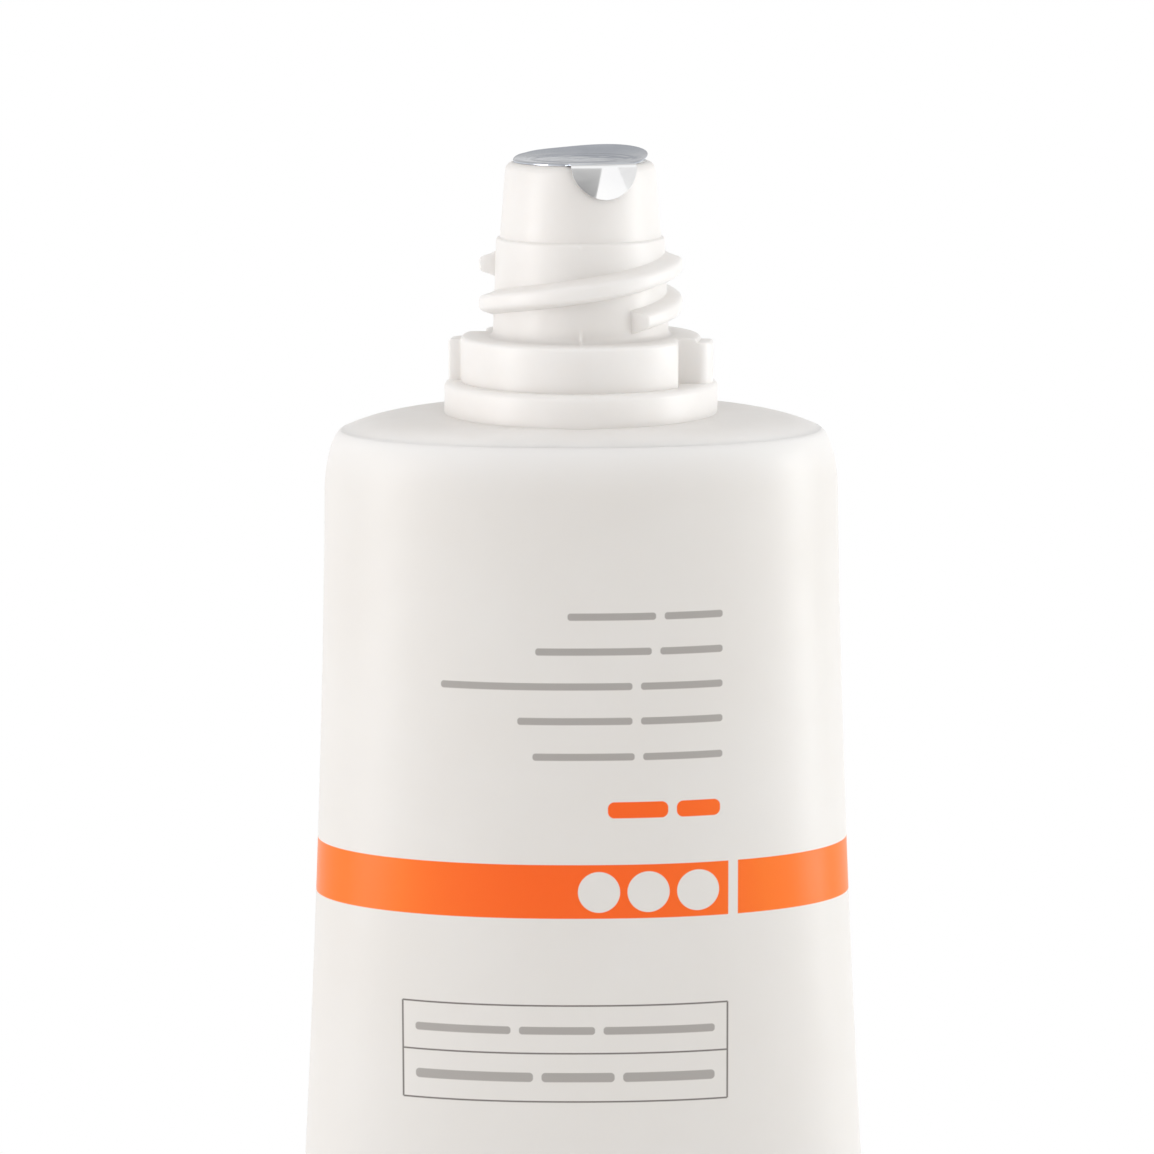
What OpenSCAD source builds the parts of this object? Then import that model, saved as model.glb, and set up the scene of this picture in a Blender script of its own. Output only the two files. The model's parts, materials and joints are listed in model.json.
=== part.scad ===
// Oval squeeze tube for sunscreen cream, sealed with foil and shown with its screw cap taken off.
// The tube stands nozzle up, in millimetres. The origin is at the middle of the crimped end,
// +Z runs up the axis to the nozzle, X runs across the broad front, and -Y is the front.

/* [Tube sleeve] */
// Width of the oval sleeve just below the shoulder
sleeve_w = 48.7; // [44:0.1:60]
// Depth of the oval sleeve just below the shoulder
sleeve_d = 31.8; // [30:0.1:40]
// Length of the sleeve from its weld line at the shoulder to the end of the crimp
sleeve_l = 130; // [95:1:180]
// Wall of the sleeve
sleeve_t = 0.5; // [0.3:0.05:0.7]
// Squareness of the oval, where 2 is a true ellipse
oval_n = 2.15; // [2:0.05:2.5]
// Share of the flattening that comes evenly down the sleeve, the rest comes just above the crimp
even_share = 0.54; // [0.3:0.02:0.8]
// How far the sleeve turns in over the shoulder
corner_in = 1.6; // [1.5:0.1:1.8]
// Height of that turned corner
corner_h = 6; // [4:0.5:9]

/* [Crimp] */
// Height of the welded strip that closes the sleeve
crimp_h = 7; // [4:0.5:12]
// Thickness of the welded strip
crimp_t = 1.1; // [1.1:0.05:1.6]

/* [Shoulder] */
// Rise of the shoulder from the weld line to the foot of the base ring
shoulder_rise = 1.6; // [1.2:0.1:4]
// Thickness of the shoulder plate
shoulder_t = 1.4; // [1:0.1:2]
// Thickness of the skirt that the sleeve is welded to
skirt_t = 0.9; // [0.6:0.1:1]

/* [Cap stops] */
// Diameter of the base ring that the skirt of the cap closes over
ring_d = 25.9; // [25:0.1:26.4]
// Height of the base ring
ring_h = 3.03; // [2:0.01:4]
// Diameter of the stop collar on the base ring
collar_d = 22.7; // [22:0.1:23.4]
// Height of the stop collar
collar_h = 4.27; // [3.4:0.01:6]
// Distance from the axis to the side of each stop notch
notch_x = 9.1; // [9:0.1:9.6]
// Distance from the middle plane to the stop face of each notch
notch_y = 3.4; // [2.6:0.1:4]
// Distance from the axis to the crown of each stop lobe
lobe_r = 12.55; // [12.2:0.05:12.7]
// How much lower the lobes are than the collar
lobe_drop = 0.4; // [0.2:0.1:1]
// Radius of the lead-in corner of each lobe
lobe_corner = 1.4; // [0.8:0.1:2]

/* [Neck and thread] */
// Diameter of the neck at its foot
neck_d = 16.6; // [16.2:0.1:17]
// Diameter of the neck at its top
neck_top_d = 15.94; // [15.9:0.02:16.1]
// Height of the neck above the stop collar
neck_h = 9.3; // [8.9:0.1:14]
// Inner diameter of the neck
neck_bore = 13; // [11:0.1:13.4]
// Diameter over the crests of the thread
thread_d = 19.26; // [18.4:0.02:20]
// Axial distance from one crest to the next
thread_pitch = 3.75; // [3.2:0.01:4]
// Number of thread starts
thread_starts = 2; // [1:1:2]
// Width of a thread ridge at its root
thread_root_w = 2.3; // [1.6:0.1:2.6]
// Width of a thread ridge at its crest
thread_crest_w = 1.2; // [0.6:0.1:1.4]
// Turn covered by each thread, in degrees
thread_turn = 225; // [180:5:285]
// Height of the middle of a ridge above the collar where it begins
thread_rise = 2.06; // [1.6:0.02:2.3]

/* [Nozzle] */
// Diameter of the nozzle at its foot
nozzle_d = 15.2; // [14.8:0.1:15.4]
// Diameter of the nozzle at its top
nozzle_top_d = 14.2; // [13.8:0.1:14.6]
// Height of the nozzle above the neck
nozzle_h = 7.15; // [6:0.05:12]
// Diameter of the outlet bore
outlet_d = 9.2; // [8:0.1:10]
// Length of the outlet bore
outlet_l = 6.4; // [4:0.1:6.6]
// Radius of the rounded top edge
nozzle_edge = 0.9; // [0.5:0.1:1]

/* [Foil seal] */
// Thickness of the film that bonds the foil to the rim
film_t = 0.1; // [0.08:0.02:0.2]
// Thickness of the foil
foil_t = 0.15; // [0.1:0.05:0.2]
// Overhang of the foil past the flat of the rim
foil_over = 0.15; // [0:0.05:0.3]
// Height to which the loose edge of the foil curls up
foil_curl = 1.15; // [0:0.05:2]
// Direction of that curl, in degrees from +X
curl_dir = 60; // [0:5:90]
// Direction of the pull tab, in degrees from +X
tab_dir = -72; // [-110:1:-50]
// Width of the pull tab
tab_w = 6.3; // [4:0.1:7]
// Length of the pull tab below the fold
tab_l = 3.2; // [3:0.1:5]
// Radius of the fold of the pull tab
fold_r = 0.55; // [0.4:0.05:0.7]
// Gap between the pull tab and the nozzle
tab_gap = 0.12; // [0.1:0.02:0.3]

/* [Cream] */
// Air space between the skirt of the shoulder and the cream
air_gap = 6; // [0.4:0.1:20]
// Clearance between the cream and the sleeve
cream_gap = 0.3; // [0.2:0.05:0.5]

/* [Hidden] */

$fn = 96;
oval_steps = 48;
foil_steps = 72;
eps = 0.2;

// Exponents of the even flattening and of the late one
even_pow = 1.6;
late_pow = 8;
// Squareness of the welded strip, and how late the oval turns into it
crimp_n = 12;
crimp_n_pow = 16;
// Curvature of the shoulder between ring and weld line
shoulder_pow = 2.8;
// Halvings that find the width of the oval from its girth
halvings = 26;

// Heights from the crimped end up
body_l = sleeve_l - crimp_h;
weld_z = sleeve_l;
ring_z = weld_z + shoulder_rise;
collar_z = ring_z + ring_h;
neck_z = collar_z + collar_h;
nozzle_z = neck_z + neck_h;
rim_z = nozzle_z + nozzle_h;
foil_z = rim_z + film_t;

// Shares of the way from base ring to weld line at which the shoulder and its underside have a ring
shoulder_shares = [0.3, 0.55, 0.7, 0.82, 0.92];
roof_shares = [0.7, 0.35];
// How far the shoulder and its underside reach in under the base ring, and the ring down into it
shoulder_lap = 1;
shoulder_lift = 0.05;
roof_lap = 2.4;
ring_lap = 1.6;
ring_sink = 0.5;
// How far a stop lobe reaches into the collar
lobe_lap = 0.5;

// Small radii of the moulding
ring_edge = 0.6;
collar_edge = 0.35;
neck_fillet = 0.5;
neck_edge = 0.25;
outlet_edge = 0.2;

// Inside of the moulding: a wide core below the collar, then the neck and the outlet
collar_plate = 1.5;
core_wall = 1.4;
core_r = norm([notch_x, notch_y]) - core_wall;
throat_h = 2.2;

land_r = nozzle_top_d / 2 - nozzle_edge;
foil_r = land_r + foil_over;
film_margin = 0.05;
film_out = land_r - film_margin;
film_in = outlet_d / 2 + outlet_edge + film_margin;
// Share of the foil's radius at which the curl begins, and how evenly it fades to both sides
curl_start = 0.72;
curl_spread = 1.5;

// The fold lies where the tab hangs clear of the nozzle at the depth of its lowest point
nozzle_slope = (nozzle_d - nozzle_top_d) / 2 / (nozzle_h - nozzle_edge);
tab_in = nozzle_top_d / 2 + (tab_l - nozzle_edge) * nozzle_slope + tab_gap;
fold_d = tab_in - fold_r;
hinge_back = 0.1;
hinge_d = fold_d - hinge_back;
tongue_gap = 0.15;
tongue_d = hinge_d - tongue_gap;

// The ridges of the thread are rooted inside the wall of the neck, and widen toward the root
root_share = 0.3;
thread_root_r = neck_bore / 2 + (neck_top_d - neck_bore) * root_share;
flank_slope = 0.4;
thread_lead = thread_pitch * thread_starts;
thread_step = 7.5;
// The first end of a thread is a flat face across the mould's parting plane, and lies this much
// nearer to the axis than the root of the ridge
face_inset = 0.432;
thread_face = thread_root_r - face_inset;
thread_from = acos(thread_face / (thread_d / 2));

// Rings along the sleeve and the cream, closer together toward the crimp
side_rings = 13;
cream_rings = 12;
ring_bias = 1.35;
// Where the inside of the sleeve ends above the crimp, and the cream above that
slit_gap = 0.5;
cream_end_gap = 5;

// Length round an oval with half axes a and b
function girth(a, b) =
    let (h = pow((a - b) / (a + b), 2))
    PI * (a + b) * (1 + 3 * h / (10 + sqrt(4 - 3 * h)));

sleeve_girth = girth(sleeve_w / 2, sleeve_d / 2);

// Half width at which an oval of half depth b keeps the girth of the sleeve, by bisection
function half_width(b, low, high, steps) =
    let (mid = (low + high) / 2)
    steps == 0 ? mid
    : girth(mid, b) < sleeve_girth ? half_width(b, mid, high, steps - 1)
    : half_width(b, low, mid, steps - 1);

function flattening(u) = even_share * pow(u, even_pow) + (1 - even_share) * pow(u, late_pow);

function half_depth(s) =
    crimp_t / 2 + (sleeve_d - crimp_t) / 2 * (1 - flattening(min(s / body_l, 1)));

// Half width and half depth of the outside at distance s below the weld line
function half_axes(s) =
    let (b = half_depth(s))
    [half_width(b, b, sleeve_girth / 3, halvings), b];

function squareness(s) = oval_n + (crimp_n - oval_n) * pow(min(s / body_l, 1), crimp_n_pow);

// A ring is a height, two half axes and a squareness
function side_ring(s, inward) =
    let (h = half_axes(s))
    [weld_z - s, h[0] - inward, h[1] - inward, squareness(s)];

// Ring on the turned corner, from 0 degrees at the weld line to 90 at its foot
function corner_ring(turn, inward) =
    let (s = corner_h - (corner_h - inward) * cos(turn))
    side_ring(s, corner_in - (corner_in - inward) * sin(turn));

function ring_points(ring) =
    [for (i = [0 : oval_steps - 1])
        let (
            c = cos(360 * i / oval_steps),
            side = i < oval_steps / 2 ? 1 : -1,
            y = pow(max(0, 1 - pow(abs(c), ring[3])), 1 / ring[3])
        )
        [ring[1] * c, side * ring[2] * y, ring[0]]];

// Triangles between one ring of points and the next
function band_faces(k, next, n) =
    [for (i = [0 : n - 1])
        let (j = (i + 1) % n)
        each [[k * n + i, k * n + j, next * n + i], [k * n + j, next * n + j, next * n + i]]];

// Skin through rings of n points, whose outside is taken downward: its ends are capped, or it
// closes on itself
module skin(rings, n, closed = false) {
    count = len(rings);
    last = closed ? count - 1 : count - 2;
    points = [for (ring = rings) each ring];
    sides = [for (k = [0 : last]) each band_faces(k, (k + 1) % count, n)];
    caps = closed ? [] : [
        [for (i = [n - 1 : -1 : 0]) i],
        [for (i = [0 : n - 1]) (count - 1) * n + i]
    ];
    polyhedron(points = points, faces = concat(sides, caps));
}

module loft(rings, closed = false) {
    skin([for (ring = rings) ring_points(ring)], oval_steps, closed);
}

// Quarter turn of a rounded edge: centre, radius and the angle at which it begins
function arc(c, r, from, turn = 90, steps = 6) =
    [for (i = [0 : steps]) c + r * [cos(from + turn * i / steps), sin(from + turn * i / steps)]];

// Distances below the weld line at which the sleeve has a ring
corner_turns = [for (i = [0 : 5]) 18 * i];
slit_s = body_l - slit_gap;
function spaced(from, to, count) =
    [for (i = [0 : count]) from + (to - from) * (1 - pow(1 - i / count, ring_bias))];
side_s = spaced(corner_h, slit_s, side_rings);

module tube_sleeve() {
    inside = concat(
        [for (i = [side_rings : -1 : 0]) side_ring(side_s[i], sleeve_t)],
        [for (i = [4 : -1 : 0]) corner_ring(corner_turns[i], sleeve_t)]
    );
    outside = concat(
        [for (turn = corner_turns) corner_ring(turn, 0)],
        [for (i = [1 : side_rings]) side_ring(side_s[i], 0)],
        [side_ring(body_l, 0), side_ring(sleeve_l, 0)]
    );
    color("white") loft(concat(inside, outside));
}

// Ring on top of the shoulder, from 0 at the foot of the base ring to 1 at the weld line
function shoulder_ring(t, drop = 0) =
    let (
        weld = corner_ring(0, 0),
        foot = ring_d / 2
    )
    [
        ring_z - shoulder_rise * pow(t, shoulder_pow) - drop,
        foot + (weld[1] - foot) * t,
        foot + (weld[2] - foot) * t,
        2 + (oval_n - 2) * t
    ];

// Plate and skirt of the shoulder, closed under the base ring
module shoulder() {
    inward = sleeve_t + skirt_t;
    foot = ring_d / 2 - shoulder_lap;
    foot_in = ring_d / 2 - roof_lap;
    top = [for (t = shoulder_shares) shoulder_ring(t)];
    seat = [for (turn = corner_turns) corner_ring(turn, sleeve_t)];
    under = [for (turn = [90, 45, 0]) corner_ring(turn, inward)];
    roof = [for (t = roof_shares) shoulder_ring(t, shoulder_t)];
    foot_top = [ring_z + shoulder_lift, foot, foot, 2];
    foot_under = [ring_z - shoulder_t + eps, foot_in, foot_in, 2];
    loft(concat([foot_top], top, [corner_ring(0, 0)], seat, under, roof, [foot_under]), closed = true);
}

// Base ring, stop collar, neck and nozzle as one turned profile, with its bores
module turned_head() {
    outer = concat(
        [[ring_d / 2 - ring_lap, ring_z - shoulder_t - eps], [ring_d / 2, ring_z - ring_sink]],
        arc([ring_d / 2 - ring_edge, collar_z - ring_edge], ring_edge, 0),
        [[collar_d / 2, collar_z]],
        arc([collar_d / 2 - collar_edge, neck_z - collar_edge], collar_edge, 0, steps = 4),
        arc([neck_d / 2 + neck_fillet, neck_z + neck_fillet], neck_fillet, -90, -90, 4),
        arc([neck_top_d / 2 - neck_edge, nozzle_z - neck_edge], neck_edge, 0, steps = 4),
        [[nozzle_d / 2, nozzle_z]],
        arc([land_r, rim_z - nozzle_edge], nozzle_edge, 0)
    );
    inner = [
        [outlet_d / 2 + outlet_edge, rim_z],
        [outlet_d / 2, rim_z - outlet_edge],
        [outlet_d / 2, rim_z - outlet_l],
        [neck_bore / 2, rim_z - outlet_l - throat_h],
        [neck_bore / 2, neck_z - collar_plate],
        [core_r, neck_z - collar_plate],
        [core_r, ring_z - shoulder_t - eps]
    ];
    rotate_extrude() polygon(concat(outer, inner));
}

// Notch that leaves the cap's lug room to turn, as deep as the collar
module stop_notch() {
    translate([notch_x, -notch_y - ring_d, collar_z]) cube([ring_d, ring_d, collar_h + 1]);
}

// Lobe beside the notch that the cap's lug comes up against
module stop_lobe() {
    crown = sqrt(pow(lobe_r, 2) - pow(notch_y - lobe_corner, 2));
    base = notch_x + lobe_lap;
    translate([0, 0, collar_z - eps]) linear_extrude(collar_h - lobe_drop + eps) polygon(concat(
        [[base, 0], [base, -notch_y]],
        arc([crown - lobe_corner, lobe_corner - notch_y], lobe_corner, -90),
        [[lobe_r, 0]]
    ));
}

// Angle on the thread at radius r, where 0 is the flat first face and 1 is the far end
function thread_angle(r, t) =
    let (from = acos(thread_face / r))
    from + (thread_from + thread_turn - from) * t;

function thread_point(r, w, t) =
    let (
        turn = thread_angle(r, t),
        z = neck_z + thread_rise + thread_lead * (turn - thread_from) / 360
    )
    [r * sin(turn), -r * cos(turn), z + w];

// One ridge of the thread, flat at both of its ends
module thread_ridge() {
    count = ceil(thread_turn / thread_step);
    crest = thread_d / 2;
    root = thread_root_w / 2 + (neck_top_d / 2 - thread_root_r) * flank_slope;
    tip = thread_crest_w / 2;
    rings = [for (i = [0 : count])
        let (t = i / count)
        [
            thread_point(thread_root_r, -root, t),
            thread_point(crest, -tip, t),
            thread_point(crest, tip, t),
            thread_point(thread_root_r, root, t)
        ]];
    skin(rings, 4);
}

module tube_head() {
    color("whitesmoke") union() {
        shoulder();
        difference() {
            turned_head();
            for (half = [0, 180]) rotate(half) stop_notch();
        }
        for (half = [0, 180]) rotate(half) stop_lobe();
        for (i = [0 : thread_starts - 1]) rotate(360 * i / thread_starts) thread_ridge();
    }
}

// Ring of heat-seal film that bonds the foil to the rim and stays on it
module seal_film() {
    color("gainsboro") translate([0, 0, rim_z]) difference() {
        cylinder(h = film_t, r = film_out);
        translate([0, 0, -1]) cylinder(h = film_t + 2, r = film_in);
    }
}

// Edge of the foil at angle a: a circle with a square tongue out to the fold
function foil_edge(a) =
    let (
        off = abs((a - tab_dir + 540) % 360 - 180),
        ahead = off < 80 ? tongue_d / cos(off) : 0,
        beside = off > 1 ? tab_w / 2 / sin(off) : tongue_d
    )
    max(foil_r, min(ahead, beside));

// Lift of the loose edge at share t of the way out from the middle
function foil_lift(a, t) =
    foil_curl * pow(max(0, cos(a - curl_dir)), curl_spread)
    * pow(max(0, (t - curl_start) / (1 - curl_start)), 2);

function foil_ring(t, up) =
    [for (i = [0 : foil_steps - 1])
        let (a = tab_dir + 360 * i / foil_steps, r = foil_edge(a) * t)
        [r * cos(a), r * sin(a), foil_z + up + foil_lift(a, t)]];

module seal_foil() {
    shares = [0.5, curl_start, 0.82, 0.92, 1];
    rings = concat(
        [for (t = shares) foil_ring(t, foil_t)],
        [for (i = [len(shares) - 1 : -1 : 0]) foil_ring(shares[i], 0)]
    );
    color("silver") skin(rings, foil_steps);
}

// Half-round tab that starts flat at the fold, bends over the rim and hangs down
module pull_tab() {
    bend = concat(
        arc([fold_d, foil_z - fold_r], fold_r + foil_t, 90, -90),
        [[tab_in + foil_t, foil_z - tab_l], [tab_in, foil_z - tab_l]],
        arc([fold_d, foil_z - fold_r], fold_r, 0, 90)
    );
    straight = max(tab_l - tab_w / 2, 0.05);
    color("silver") rotate(tab_dir) intersection() {
        rotate([90, 0, 0]) translate([0, 0, -tab_w]) linear_extrude(2 * tab_w) polygon(bend);
        translate([fold_d - fold_r, 0, foil_z]) rotate([90, 0, 90]) linear_extrude(tab_w) union() {
            translate([-tab_w / 2, -straight]) square([tab_w, straight + fold_r]);
            translate([0, -tab_l + tab_w / 2]) circle(r = tab_w / 2);
        }
    }
}

module cream() {
    inward = sleeve_t + cream_gap;
    top_s = corner_h + air_gap;
    depths = spaced(top_s, slit_s - cream_end_gap, cream_rings);
    color("oldlace") loft([for (s = depths) side_ring(s, inward)]);
}

tube_sleeve();
tube_head();
seal_film();
seal_foil();
pull_tab();
cream();
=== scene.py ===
# %% [markdown]
# # An oval squeeze tube of sunscreen
# The tube stands nozzle up with its cap off. A printed plastic sleeve is welded to a moulded head
# with a threaded neck, and a foil seal with a small pull tab closes the nozzle. This notebook draws
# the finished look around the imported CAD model, which gives every place, size and joint.

# %% Load the frame and keep the CAD box
import json

import bpy
import numpy as np
from mathutils import Matrix, Vector


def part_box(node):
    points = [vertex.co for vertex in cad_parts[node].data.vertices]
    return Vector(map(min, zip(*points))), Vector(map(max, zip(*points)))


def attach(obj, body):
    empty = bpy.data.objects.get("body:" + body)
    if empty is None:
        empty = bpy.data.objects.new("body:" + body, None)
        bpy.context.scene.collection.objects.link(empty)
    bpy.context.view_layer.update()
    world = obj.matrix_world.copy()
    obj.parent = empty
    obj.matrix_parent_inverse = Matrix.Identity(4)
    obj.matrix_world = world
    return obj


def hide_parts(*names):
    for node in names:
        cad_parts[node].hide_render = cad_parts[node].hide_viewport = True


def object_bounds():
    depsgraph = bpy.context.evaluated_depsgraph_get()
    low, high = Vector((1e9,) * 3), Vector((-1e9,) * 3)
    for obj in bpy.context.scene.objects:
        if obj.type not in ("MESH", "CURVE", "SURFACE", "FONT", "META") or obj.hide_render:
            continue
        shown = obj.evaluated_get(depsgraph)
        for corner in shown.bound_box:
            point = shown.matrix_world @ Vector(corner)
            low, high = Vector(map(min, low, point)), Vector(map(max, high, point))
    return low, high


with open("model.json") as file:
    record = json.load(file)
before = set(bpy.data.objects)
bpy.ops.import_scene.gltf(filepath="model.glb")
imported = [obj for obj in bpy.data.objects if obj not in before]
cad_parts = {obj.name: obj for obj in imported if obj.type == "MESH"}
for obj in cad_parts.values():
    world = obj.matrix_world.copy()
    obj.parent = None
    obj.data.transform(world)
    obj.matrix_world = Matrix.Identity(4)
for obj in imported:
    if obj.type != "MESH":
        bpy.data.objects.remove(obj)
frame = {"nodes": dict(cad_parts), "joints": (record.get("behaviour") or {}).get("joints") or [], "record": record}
cad_low, cad_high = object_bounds()
print("CAD box", [round(v, 4) for v in cad_low], [round(v, 4) for v in cad_high])

# %% [markdown]
# ## Sizes
# The frame gives the main places: the top of the sleeve is the weld line, the mounts give the ring
# and the outlet, and the hinge of the tab gives its fold. The smaller sizes of the moulding repeat
# those of the CAD source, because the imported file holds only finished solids. Everything is worked
# out in millimetres and scaled to metres once, when a mesh is made.

# %% Sizes in millimetres
MM = 0.001


def node_box(name):
    """Lowest and highest corner of a CAD node, in millimetres."""
    low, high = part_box(name)
    return np.array(low) / MM, np.array(high) / MM


def mount(name):
    """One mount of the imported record."""
    return next(m for m in frame["record"]["mounts"] if m["name"] == name)


def hinge_place(name):
    """A point on the axis of a hinge, in millimetres."""
    joint = next(j for j in frame["joints"] if j["name"] == name)
    return np.array(joint["pos_m"]) / MM


weld_z = node_box("tube_sleeve")[1][2]
ring_rise = 1.6
ring_z = weld_z + ring_rise
collar_z = ring_z + 3.03
neck_z = collar_z + 4.27
nozzle_z = neck_z + 9.3
rim_z = nozzle_z + 7.15
foil_z = node_box("seal_film")[1][2]
ring_r = mount("cap_skirt_seat")["dims"]["r_mm"]
outlet_r = mount("outlet")["dims"]["r_mm"]
sleeve_w, sleeve_d, sleeve_wall = 48.7, 31.8, 0.5
skin = 0.01
crimp_h, crimp_t = 7.0, 1.1
corner_in, corner_h = 1.6, 6.0
body_l = weld_z - crimp_h
print("weld", weld_z, "ring", ring_z, "rim", rim_z, "foil", foil_z)

# %% [markdown]
# ## Surfaces as grids
# Every new piece is a grid of points: one parameter runs along it and the other runs round it.
# Numpy computes the whole grid at once, and the faces are index patterns on the same grid, so no
# loop visits a vertex. A grid that wraps in both directions is a closed ring, like a tyre, and one
# whose first and last rows are capped is a closed cup or rod.

# %% Grid helpers


def grid_faces(rows, columns, wrap_rows=False, start=0):
    """Quads between neighbouring rows of a grid whose columns wrap round."""
    r = np.arange(rows if wrap_rows else rows - 1)[:, None]
    c = np.arange(columns)[None, :]
    r2 = (r + 1) % rows
    c2 = (c + 1) % columns
    corners = [r * columns + c, r2 * columns + c, r2 * columns + c2, r * columns + c2]
    return start + np.stack([np.broadcast_to(k, (len(r), columns)) for k in corners], -1).reshape(-1, 4)


def grid_mesh(name, grids):
    """A mesh from grids (points, wrap_rows): each one is capped unless its rows wrap."""
    points, faces, start = [], [], 0
    for grid, wrap_rows in grids:
        rows, columns = grid.shape[:2]
        points.append(grid.reshape(-1, 3))
        faces += grid_faces(rows, columns, wrap_rows, start).tolist()
        if not wrap_rows:
            last = start + (rows - 1) * columns
            faces.append(list(range(start + columns - 1, start - 1, -1)))
            faces.append(list(range(last, last + columns)))
        start += rows * columns
    mesh = bpy.data.meshes.new(name)
    mesh.from_pydata((np.concatenate(points) * MM).tolist(), [], faces)
    mesh.update()
    return mesh


def finished(name, mesh, body, node, smooth_angle):
    """Smooths a mesh, puts it on its body and lets it stand for its CAD node."""
    mesh.polygons.foreach_set("use_smooth", [True] * len(mesh.polygons))
    mesh.set_sharp_from_angle(angle=np.radians(smooth_angle))
    mesh.update()
    piece = bpy.data.objects.new(name, mesh)
    bpy.context.scene.collection.objects.link(piece)
    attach(piece, body)
    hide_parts(node)
    print(name, len(mesh.vertices), "points,", len(mesh.polygons), "faces")
    return piece


def grid_piece(name, grids, body, node, smooth_angle=40.0):
    """A finished piece straight from its grids."""
    return finished(name, grid_mesh(name, grids), body, node, smooth_angle)


def arc_points(centre, radius, from_deg, turn_deg, steps):
    """Points of an arc in the (radius, height) plane."""
    a = np.radians(from_deg + turn_deg * np.linspace(0, 1, steps + 1))
    return np.stack([centre[0] + radius * np.cos(a), centre[1] + radius * np.sin(a)], -1)


def turned(profile, columns):
    """A profile of (radius, height) points carried round the axis."""
    a = np.linspace(0, 2 * np.pi, columns, endpoint=False)
    r, z = profile[:, :1], profile[:, 1:]
    return np.stack([r * np.cos(a), r * np.sin(a), z + 0 * a], -1)


# %% [markdown]
# ## The sleeve
# The real sleeve is an extruded oval pipe, 0.5 mm thick. It is turned in over the shoulder and
# welded there, and its other end is pressed flat and welded shut, so it gets wider as it gets
# flatter while its girth stays the same. That rule gives the shape: the depth falls along the
# sleeve, and the width follows from the girth, found by halving an interval for all rows at once.

# %% Sleeve shape
oval_n, crimp_n = 2.15, 12.0


def girth(a, b):
    """Length round an oval with half axes a and b, by Ramanujan's second formula."""
    h = ((a - b) / (a + b)) ** 2
    return np.pi * (a + b) * (1 + 3 * h / (10 + np.sqrt(4 - 3 * h)))


def half_axes(s):
    """Half width and half depth at distance s below the weld line.

    The depth falls with a mix of a low and a high power of s, so it drops slowly and then fast.
    """
    u = np.clip(s / body_l, 0, 1)
    flat = 0.54 * u**1.6 + 0.46 * u**8
    b = crimp_t / 2 + (sleeve_d - crimp_t) / 2 * (1 - flat)
    whole = girth(sleeve_w / 2, sleeve_d / 2)
    low, high = b.copy(), np.full_like(b, whole / 3)
    for _ in range(30):
        middle = (low + high) / 2
        wide = girth(middle, b) > whole
        high = np.where(wide, middle, high)
        low = np.where(wide, low, middle)
    return (low + high) / 2, b


def oval_rows(z, a, b, n, columns):
    """Rows of a squared oval: x = a cos t, and y makes |x/a|^n + |y/b|^n equal 1.

    Each of z, a, b and n is one value per row, or one per point.
    """
    t = np.linspace(0, 2 * np.pi, columns, endpoint=False)
    c = np.cos(t)[None, :]
    side = np.where(np.sin(t) >= 0, 1.0, -1.0)[None, :]
    z, a, b, n = (np.asarray(v, float) for v in (z, a, b, n))
    z, a, b, n = (v[:, None] if v.ndim == 1 else v for v in (z, a, b, n))
    y = np.maximum(0, 1 - np.abs(c) ** n) ** (1 / n)
    return np.stack([a * c, side * b * y, z + 0 * c], -1)


def squareness(s):
    """Exponent of the oval: it rises with the 16th power of s, from an ellipse to a rectangle."""
    return oval_n + (crimp_n - oval_n) * np.clip(s / body_l, 0, 1) ** 16


def side_rows(s, inward, columns):
    """Rows of the sleeve's wall at distances s below the weld line."""
    a, b = half_axes(s)
    return oval_rows(weld_z - s, a - inward, b - inward, squareness(s), columns)


print("girth", round(girth(sleeve_w / 2, sleeve_d / 2), 1), "mm, length", round(weld_z, 1), "mm")

# %% [markdown]
# ### The turned-in corner
# The end of the pipe is heated and pressed round the edge of the head, so the body rolls over into
# the shoulder. The shoulder's own curve is worked out first, and the corner starts at its slope.

# %% Corner of the sleeve
shoulder_pow, steepest = 2.8, 1.5


def shoulder_form(columns):
    """Power of the shoulder's curve in each direction, and its slope where it meets the weld.

    The shoulder is a drop of t to a power, so its slope at the end is the drop times the power
    over the run. The run is short at the front and back, where the power falls to hold the slope.
    """
    t = np.linspace(0, 2 * np.pi, columns, endpoint=False)
    a, b = half_axes(np.zeros(1))
    run = np.hypot((a - corner_in - ring_r) * np.cos(t), (b - corner_in - ring_r) * np.sin(t))
    power = np.clip(steepest * run / ring_rise, 1.1, shoulder_pow)
    return power, ring_rise * power / run


def corner_rows(part, inward, columns):
    """Rows on the turned-in corner, from part 0 at the weld line to part 1 at its foot.

    The corner is a piece of an ellipse from turn0 to 90 degrees, scaled to the corner's width and
    height. Its slope begins as height / width times sin(turn0) / (1 + sin(turn0)), which is set
    equal to the slope of the shoulder, so the two meet without a kink.
    """
    slope = shoulder_form(columns)[1][None, :]
    sine = slope / (corner_h / corner_in - slope)
    turn0 = np.arcsin(sine)
    turn = turn0 + (np.pi / 2 - turn0) * np.asarray(part)[:, None]
    s = corner_h - (corner_h - inward) * np.cos(turn) / np.cos(turn0)
    inset = inward + (corner_in - inward) * (1 - np.sin(turn)) / (1 - sine)
    a, b = half_axes(s)
    return oval_rows(weld_z - s, a - inset, b - inset, squareness(s), columns)


sleeve_columns = 320
corner_parts = np.linspace(0, 1, 22)
side_s = corner_h + (body_l - corner_h) * (1 - (1 - np.linspace(0, 1, 150)) ** 1.25)
inner_s = np.linspace(corner_h, body_l - 0.5, 40)
crimp_s = np.linspace(body_l, weld_z, 57)
print("steepest shoulder", round(float(shoulder_form(sleeve_columns)[1].max()), 2))

# %% [markdown]
# ### The pressed strip
# Hot jaws close the end and leave their ribs in the plastic: fine flat ridges across the strip,
# the same on both faces. They are real relief, a small wave in the half depth of the last rows.

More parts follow.
